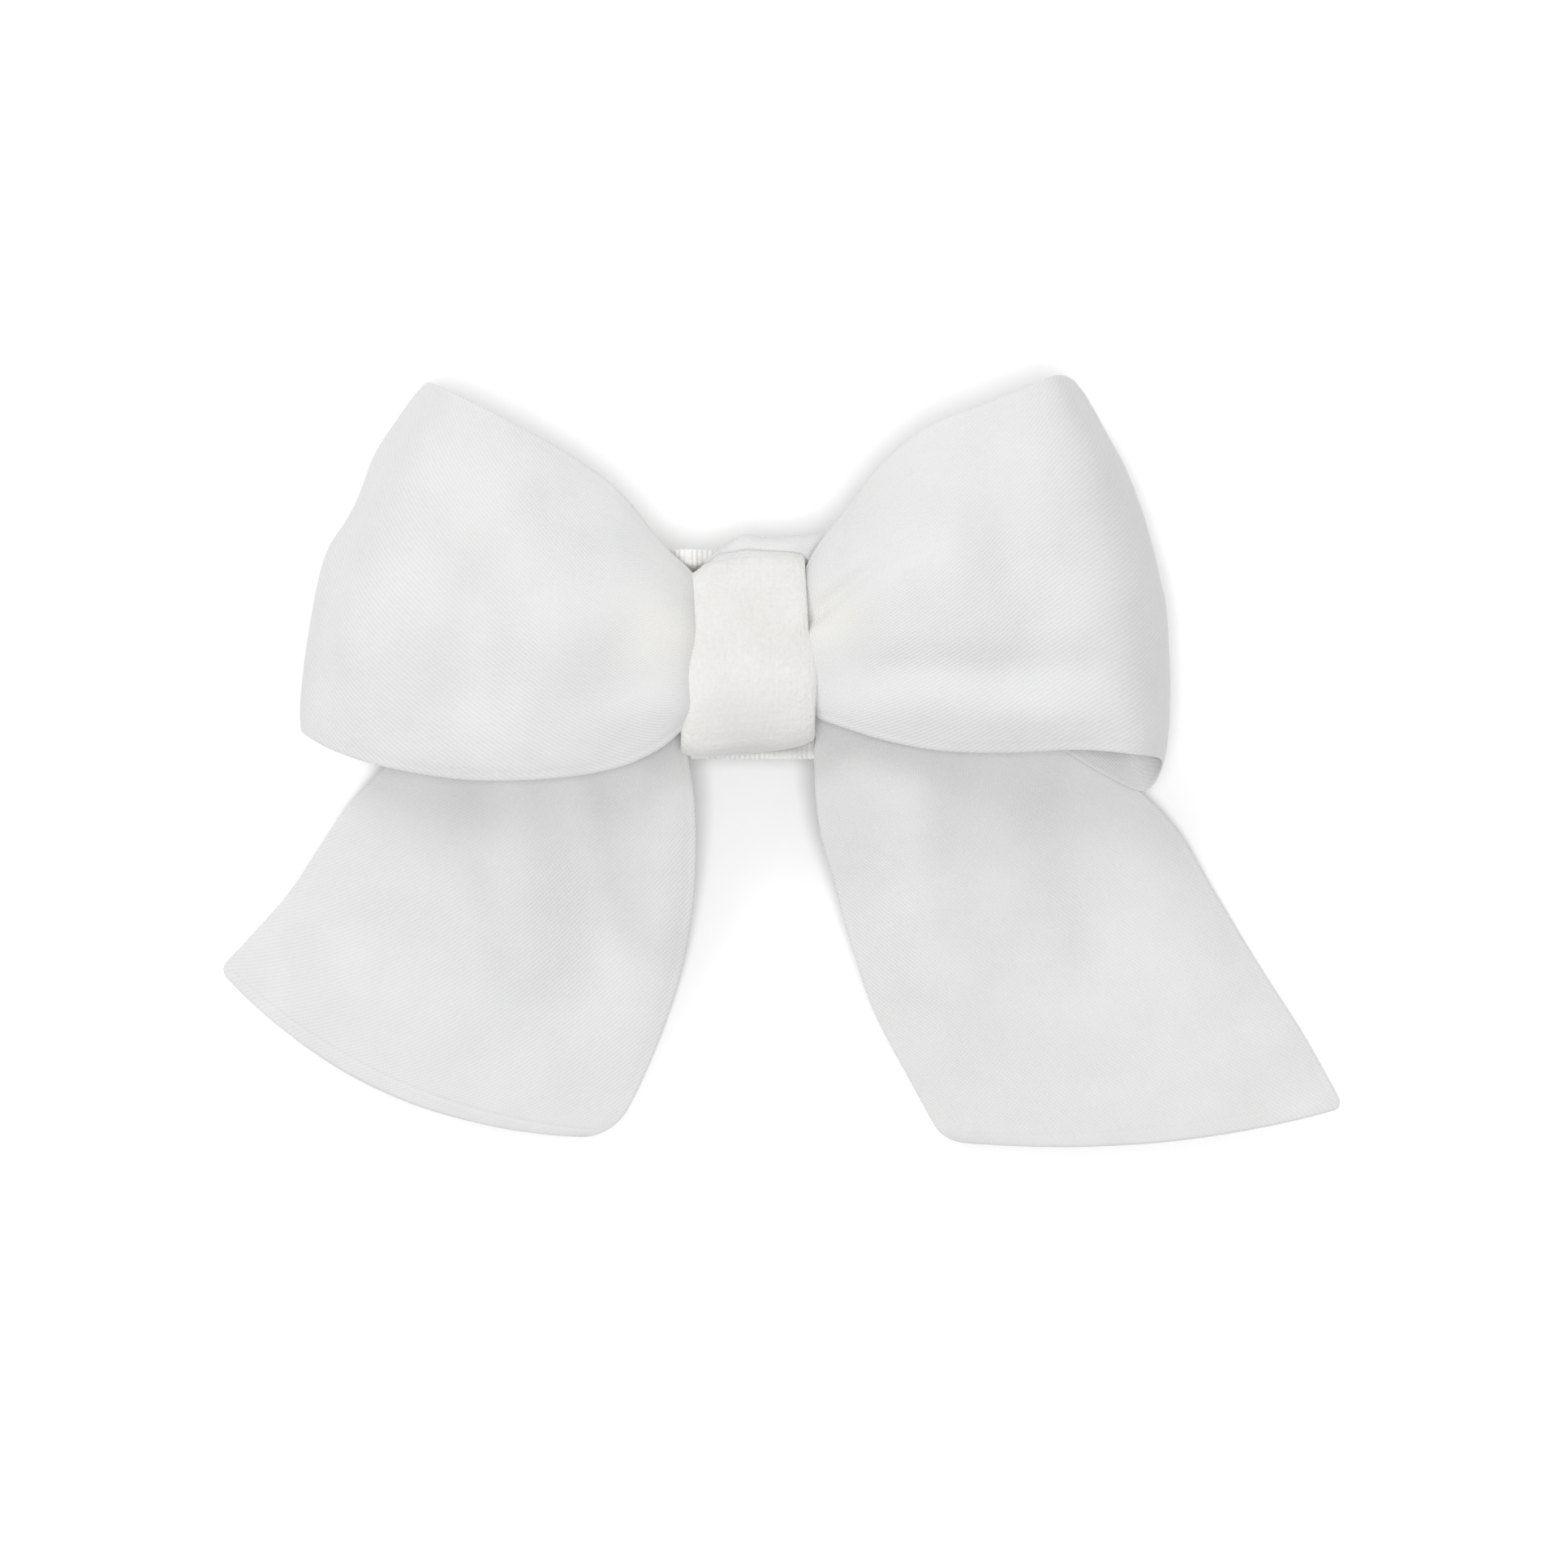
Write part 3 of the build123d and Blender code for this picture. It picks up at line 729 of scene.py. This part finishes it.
# ---------------------------------------------------------------- materials
class Finish:
    """A node material with one principled shader and short ways to add to it."""

    def __init__(self, name, roughness, **values):
        self.material = bpy.data.materials.new(name)
        self.material.use_nodes = True
        self.nodes = self.material.node_tree.nodes
        self.links = self.material.node_tree.links
        self.shader = self.nodes["Principled BSDF"]
        self.shader.inputs["Roughness"].default_value = roughness
        for label, value in values.items():
            self.shader.inputs[label.replace("_", " ")].default_value = value
        self.coordinates = self.nodes.new("ShaderNodeTexCoord")

    def place(self, source, turn=0.0, scale=(1.0, 1.0, 1.0)):
        """Coordinates from Object or UV, in mm, turned about Z and scaled."""
        mapping = self.nodes.new("ShaderNodeMapping")
        unit = 1 / MM if source == "Object" else 1.0
        mapping.inputs["Rotation"].default_value = (0.0, 0.0, turn)
        mapping.inputs["Scale"].default_value = [unit * each for each in scale]
        self.links.new(self.coordinates.outputs[source], mapping.inputs["Vector"])
        return mapping.outputs["Vector"]

    def noise(self, vector, scale, detail=2.0):
        """A cloudy factor; the scale is in lumps for each mm."""
        texture = self.nodes.new("ShaderNodeTexNoise")
        texture.inputs["Scale"].default_value = scale
        texture.inputs["Detail"].default_value = detail
        self.links.new(vector, texture.inputs["Vector"])
        return texture.outputs["Fac"]

    def bands(self, vector, period, distortion=0.0):
        """Straight lines across X, one for each period in mm."""
        texture = self.nodes.new("ShaderNodeTexWave")
        texture.inputs["Scale"].default_value = math.pi / (10 * period)
        texture.inputs["Distortion"].default_value = distortion
        texture.inputs["Detail Scale"].default_value = 0.6
        self.links.new(vector, texture.inputs["Vector"])
        return texture.outputs["Fac"]

    def ramp(self, factor, *stops):
        """Colours or grey values along a factor, as (place, (r, g, b))."""
        node = self.nodes.new("ShaderNodeValToRGB")
        for index, (place, colour) in enumerate(stops):
            stop = node.color_ramp.elements[index] if index < 2 else node.color_ramp.elements.new(place)
            stop.position = place
            stop.color = (*colour, 1.0)
        self.links.new(factor, node.inputs["Fac"])
        return node.outputs["Color"]

    def mix(self, share, first, second, blend="MIX"):
        """Two colours mixed by a number or a factor."""
        node = self.nodes.new("ShaderNodeMix")
        node.data_type = "RGBA"
        node.blend_type = blend
        for socket, value in ((node.inputs[0], share), (node.inputs[6], first), (node.inputs[7], second)):
            if isinstance(value, bpy.types.NodeSocket):
                self.links.new(value, socket)
            elif isinstance(value, tuple):
                socket.default_value = (*value, 1.0)
            else:
                socket.default_value = value
        return node.outputs[2]

    def add(self, first, second, share):
        """first + second x share, for heights."""
        node = self.nodes.new("ShaderNodeMath")
        node.operation = "MULTIPLY_ADD"
        self.links.new(second, node.inputs[0])
        node.inputs[1].default_value = share
        self.links.new(first, node.inputs[2])
        return node.outputs[0]

    def near(self, x, y, radius):
        """A share for mixing: largest at a place seen from the front, 0 beyond a radius in mm."""
        distance = self.nodes.new("ShaderNodeVectorMath")
        distance.operation = "DISTANCE"
        self.links.new(self.place("Object", scale=(1.0, 1.0, 0.0)), distance.inputs[0])
        distance.inputs[1].default_value = (x, y, 0.0)
        reach = self.nodes.new("ShaderNodeMapRange")
        reach.interpolation_type = "SMOOTHSTEP"
        self.links.new(distance.outputs["Value"], reach.inputs["Value"])
        reach.inputs["From Max"].default_value = radius
        reach.inputs["To Min"].default_value = 0.55
        reach.inputs["To Max"].default_value = 0.0
        return reach.outputs[0]

    def colour(self, colour):
        """The surface colour, from a socket."""
        self.links.new(colour, self.shader.inputs["Base Color"])

    def roughness(self, factor, low, high):
        """Roughness that runs from low to high along a factor."""
        self.links.new(self.ramp(factor, (0.3, (low,) * 3), (0.7, (high,) * 3)),
                       self.shader.inputs["Roughness"])

    def bump(self, height, distance, strength=1.0):
        """Fine relief, its depth in mm."""
        node = self.nodes.new("ShaderNodeBump")
        node.inputs["Distance"].default_value = distance * MM
        node.inputs["Strength"].default_value = strength
        self.links.new(height, node.inputs["Height"])
        self.links.new(node.outputs["Normal"], self.shader.inputs["Normal"])


def bow_fabric():
    """Thin white double-ply cloth: a fine diagonal weave, creamier where it is gathered, with painted light
    that makes the gathers lighter.
    """
    made = Finish("white_ribbon_cloth", 0.82, Sheen_Weight=0.25, Sheen_Roughness=0.5,
                  Specular_IOR_Level=0.25, Subsurface_Weight=0.12, Subsurface_Scale=0.6 * MM)
    made.shader.inputs["Subsurface Radius"].default_value = (1.0, 0.9, 0.8)
    twill = made.bands(made.place("UV", turn=math.radians(52)), 0.42, 0.5)
    cross = made.bands(made.place("UV", turn=math.radians(-40)), 0.31, 0.4)
    slub = made.noise(made.place("UV", scale=(0.25, 2.6, 1.0)), 1.6, 3.0)
    cloud = made.noise(made.place("Object"), 0.13, 3.0)
    grain = made.noise(made.place("Object"), 3.2, 2.0)
    base = made.ramp(cloud, (0.3, (0.65,) * 3), (0.7, (0.678,) * 3))
    for fine, share, dark in ((twill, 0.55, 0.93), (slub, 0.35, 0.95), (grain, 0.5, 0.96)):
        base = made.mix(share, base, made.ramp(fine, (0.3, (dark,) * 3), (0.7, (1.0,) * 3)),
                        "MULTIPLY")
    # Patches at the gathers: a creamier tone, plus painted light that makes them lighter than the cloth
    # round them.
    for x, y, radius, cream in (       # the gathers at each side of the knot: creamier, and lighter as painted light
        (-12.0, 13.5, 7.5, (0.78, 0.77, 0.72)),
        (5.0, 15.0, 6.0, (0.71, 0.70, 0.65)),
    ):
        base = made.mix(made.near(x, y, radius), base, cream)
    made.colour(base)
    made.roughness(grain, 0.76, 0.9)
    height = made.add(made.add(twill, cross, 0.6), slub, 0.5)
    made.bump(height, 0.03, 0.7)
    return made.material


def velvet():
    """Cream velvet: short soft pile with darker hollows, and painted shade that darkens its lower end."""
    made = Finish("cream_velvet", 0.95, Sheen_Weight=0.5, Sheen_Roughness=0.35,
                  Specular_IOR_Level=0.15, Subsurface_Weight=0.15, Subsurface_Scale=0.7 * MM)
    made.shader.inputs["Subsurface Radius"].default_value = (1.0, 0.85, 0.7)
    pile = made.noise(made.place("Object"), 2.6, 4.0)
    brushed = made.noise(made.place("Object", scale=(2.4, 0.5, 1.0)), 1.3, 3.0)
    cloud = made.noise(made.place("Object"), 0.2, 2.0)
    base = made.ramp(cloud, (0.35, (0.672, 0.67, 0.658)), (0.7, (0.7, 0.699, 0.689)))
    for fine, share in ((pile, 0.6), (brushed, 0.4)):
        base = made.mix(share, base, made.ramp(fine, (0.3, (0.92, 0.91, 0.9)), (0.7, (1.0,) * 3)),
                        "MULTIPLY")
    # Painted shade: the velvet is darkened round a point low on the knot, towards the wrap's lower end.
    painted_shade_y, painted_shade_radius = 3.0, 8.0
    base = made.mix(made.near(KNOT.x, painted_shade_y, painted_shade_radius), base, (0.56, 0.548, 0.54))
    made.colour(base)
    made.roughness(pile, 0.86, 1.0)
    made.bump(made.add(pile, brushed, 0.7), 0.1, 0.7)
    return made.material


def ribbed_ribbon(name, tone):
    """Grosgrain: matt corded ribbon, its fine warp threads crossing the ribs."""
    made = Finish(name, 0.7, Sheen_Weight=0.2, Sheen_Roughness=0.4, Specular_IOR_Level=0.3)
    warp = made.noise(made.place("Object", scale=(0.6, 6.0, 3.0)), 1.1, 2.0)
    stain = made.noise(made.place("Object"), 0.35, 3.0)
    ribs = made.bands(made.place("Object"), 0.26, 0.3)
    darker = tuple(each * 0.9 for each in tone)
    base = made.ramp(stain, (0.3, darker), (0.7, tone))
    base = made.mix(0.6, base, made.ramp(warp, (0.3, (0.88, 0.88, 0.87)), (0.7, (1.0, 1.0, 1.0))),
                    "MULTIPLY")
    made.colour(base)
    made.roughness(warp, 0.6, 0.8)
    made.bump(made.add(warp, ribs, 0.3), 0.06, 0.7)
    return made.material


def thread_finish():
    """White sewing thread."""
    made = Finish("white_thread", 0.55, Sheen_Weight=0.2, Specular_IOR_Level=0.4)
    fibre = made.noise(made.place("Object", scale=(3.0, 1.0, 3.0)), 3.0, 2.0)
    made.colour(made.ramp(fibre, (0.3, (0.6, 0.59, 0.57)), (0.7, (0.72, 0.71, 0.69))))
    made.roughness(fibre, 0.45, 0.65)
    made.bump(fibre, 0.04, 0.6)
    return made.material


def glue_finish():
    """Cloudy hot-melt glue."""
    made = Finish("clear_hot_melt", 0.22, Subsurface_Weight=0.4, Subsurface_Scale=1.2 * MM,
                  Specular_IOR_Level=0.5, Coat_Weight=0.2)
    cloud = made.noise(made.place("Object"), 0.5, 3.0)
    made.colour(made.ramp(cloud, (0.3, (0.72, 0.68, 0.58)), (0.7, (0.84, 0.82, 0.76))))
    made.roughness(cloud, 0.16, 0.34)
    made.bump(cloud, 0.2, 0.5)
    return made.material


def metal(name, tone, roughness, grain_scale):
    """Plated steel: fine brushed lines, faint blotches in the plating."""
    made = Finish(name, roughness, Metallic=1.0, Anisotropic=0.3)
    grain = made.noise(made.place("Object", scale=grain_scale), 1.4, 3.0)
    blotch = made.noise(made.place("Object"), 0.45, 4.0)
    darker = tuple(each * 0.82 for each in tone)
    base = made.ramp(blotch, (0.3, darker), (0.65, tone))
    made.colour(made.mix(0.35, base, made.ramp(grain, (0.3, (0.82,) * 3), (0.7, (1.0,) * 3)),
                         "MULTIPLY"))
    made.roughness(grain, roughness - 0.08, roughness + 0.1)
    made.bump(made.add(grain, blotch, 0.4), 0.012, 0.6)
    return made.material


def rubber():
    """Off-white rubber with faint specks."""
    made = Finish("grip_rubber", 0.6, Specular_IOR_Level=0.35)
    speck = made.noise(made.place("Object"), 1.8, 4.0)
    made.colour(made.ramp(speck, (0.3, (0.62, 0.62, 0.6)), (0.7, (0.74, 0.74, 0.72))))
    made.roughness(speck, 0.5, 0.72)
    made.bump(speck, 0.05, 0.5)
    return made.material


def floor_finish():
    """Plain white paper."""
    made = Finish("white_paper", 0.95, Specular_IOR_Level=0.0)
    made.shader.inputs["Base Color"].default_value = (0.95, 0.95, 0.95, 1.0)
    return made.material


def wear(made, finish):
    """Give a piece its one material."""
    made.data.materials.clear()
    made.data.materials.append(finish)


# ---------------------------------------------------------------- the whole bow
CLOTH = bow_fabric()
GROSGRAIN = ribbed_ribbon("cream_grosgrain", (0.84, 0.83, 0.81))
NARROW_RIBBON = ribbed_ribbon("white_lining_ribbon", (0.68, 0.675, 0.66))
THREAD = thread_finish()

for build, node, flat in (
    (left_loop, "left_loop", (0.040, 0.108)),
    (right_loop, "right_loop", (0.040, 0.100)),
    (left_tail, "left_tail", (0.042, 0.058)),
    (right_tail, "right_tail", (0.042, 0.062)),
):
    made = build()
    wear(made, CLOTH)
    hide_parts(node)

hump = gathered_hump()
wear(hump, CLOTH)

wrap = knot_wrap()
wear(wrap, velvet())
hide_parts("knot_wrap")

patch = backing()
wear(patch, GROSGRAIN)
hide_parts("backing_ribbon")

winding = gather_thread()
wear(winding, THREAD)
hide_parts("gather_thread")

for index, stitch in enumerate(wrap_stitches()):
    wear(stitch, THREAD)
    if index == 0:
        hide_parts("knot_wrap_stitches")

bead = glue_pad()
wear(bead, glue_finish())
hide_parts("glue_pad")

for build, node, arm, length in (
    (top_lining, "top_arm_lining", "clip_top_arm", 0.068),
    (bottom_lining, "bottom_arm_lining", "clip_bottom_arm", 0.043),
):
    made = build()
    wear(made, NARROW_RIBBON)
    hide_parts(node)

strip = grip_strip()
wear(strip, rubber())
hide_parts("grip_strip")

spring = pivot_spring()
wear(spring, metal("spring_wire", (0.62, 0.62, 0.63), 0.3, (1.0, 1.0, 1.0)))
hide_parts("clip_spring")

NICKEL = metal("brushed_nickel", (0.72, 0.71, 0.69), 0.32, (0.25, 5.0, 5.0))
for node in ("clip_top_arm", "clip_bottom_arm", "clip_pivot_pin"):
    wear(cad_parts[node], NICKEL)


# ---------------------------------------------------------------- floor, light and camera
def floor():
    """The pale surface that the bow lies on."""
    mesh = bpy.data.meshes.new("floor")
    reach = 1.5
    corners = [(x, y, 0.0) for x, y in ((-reach, -reach), (reach, -reach), (reach, reach), (-reach, reach))]
    mesh.from_pydata(corners, [], [(0, 1, 2, 3)])
    made = bpy.data.objects.new("floor", mesh)
    bpy.context.scene.collection.objects.link(made)
    wear(made, floor_finish())


def light(name, place, aim, size, power):
    """A square soft box; places and size in metres, power in watts."""
    lamp = bpy.data.lights.new(name, "AREA")
    lamp.shape = "SQUARE"
    lamp.size = size
    lamp.energy = power
    made = bpy.data.objects.new(name, lamp)
    made.location = place
    made.rotation_euler = (Vector(aim) - Vector(place)).to_track_quat("-Z", "Y").to_euler()
    bpy.context.scene.collection.objects.link(made)


def camera():
    """Straight above the bow, framed as the photo is."""
    frame_width = 0.168      # width of the picture, in metres, at this height above the floor
    frame_height = 0.012
    data = bpy.data.cameras.new("camera")
    data.lens = 120.0
    data.sensor_width = 36.0
    data.clip_start = 0.01
    made = bpy.data.objects.new("camera", data)
    made.location = (0.0003, -0.0026, frame_height + frame_width * data.lens / data.sensor_width)
    bpy.context.scene.collection.objects.link(made)
    bpy.context.scene.camera = made


floor()
camera()
light("overhead_box", (0.01, -0.1, 1.2), (0.0, 0.0, 0.0), 0.4, 9.6)
light("side_box", (-0.50, 0.65, 0.75), (0.0, 0.0, 0.0), 0.5, 3.8)
world = bpy.data.worlds.new("white_room")
world.use_nodes = True
room = world.node_tree.nodes["Background"]
room.inputs["Color"].default_value = (1.0, 1.0, 1.0, 1.0)
room.inputs["Strength"].default_value = 0.44
bpy.context.scene.world = world
bpy.context.scene.view_settings.view_transform = "Standard"
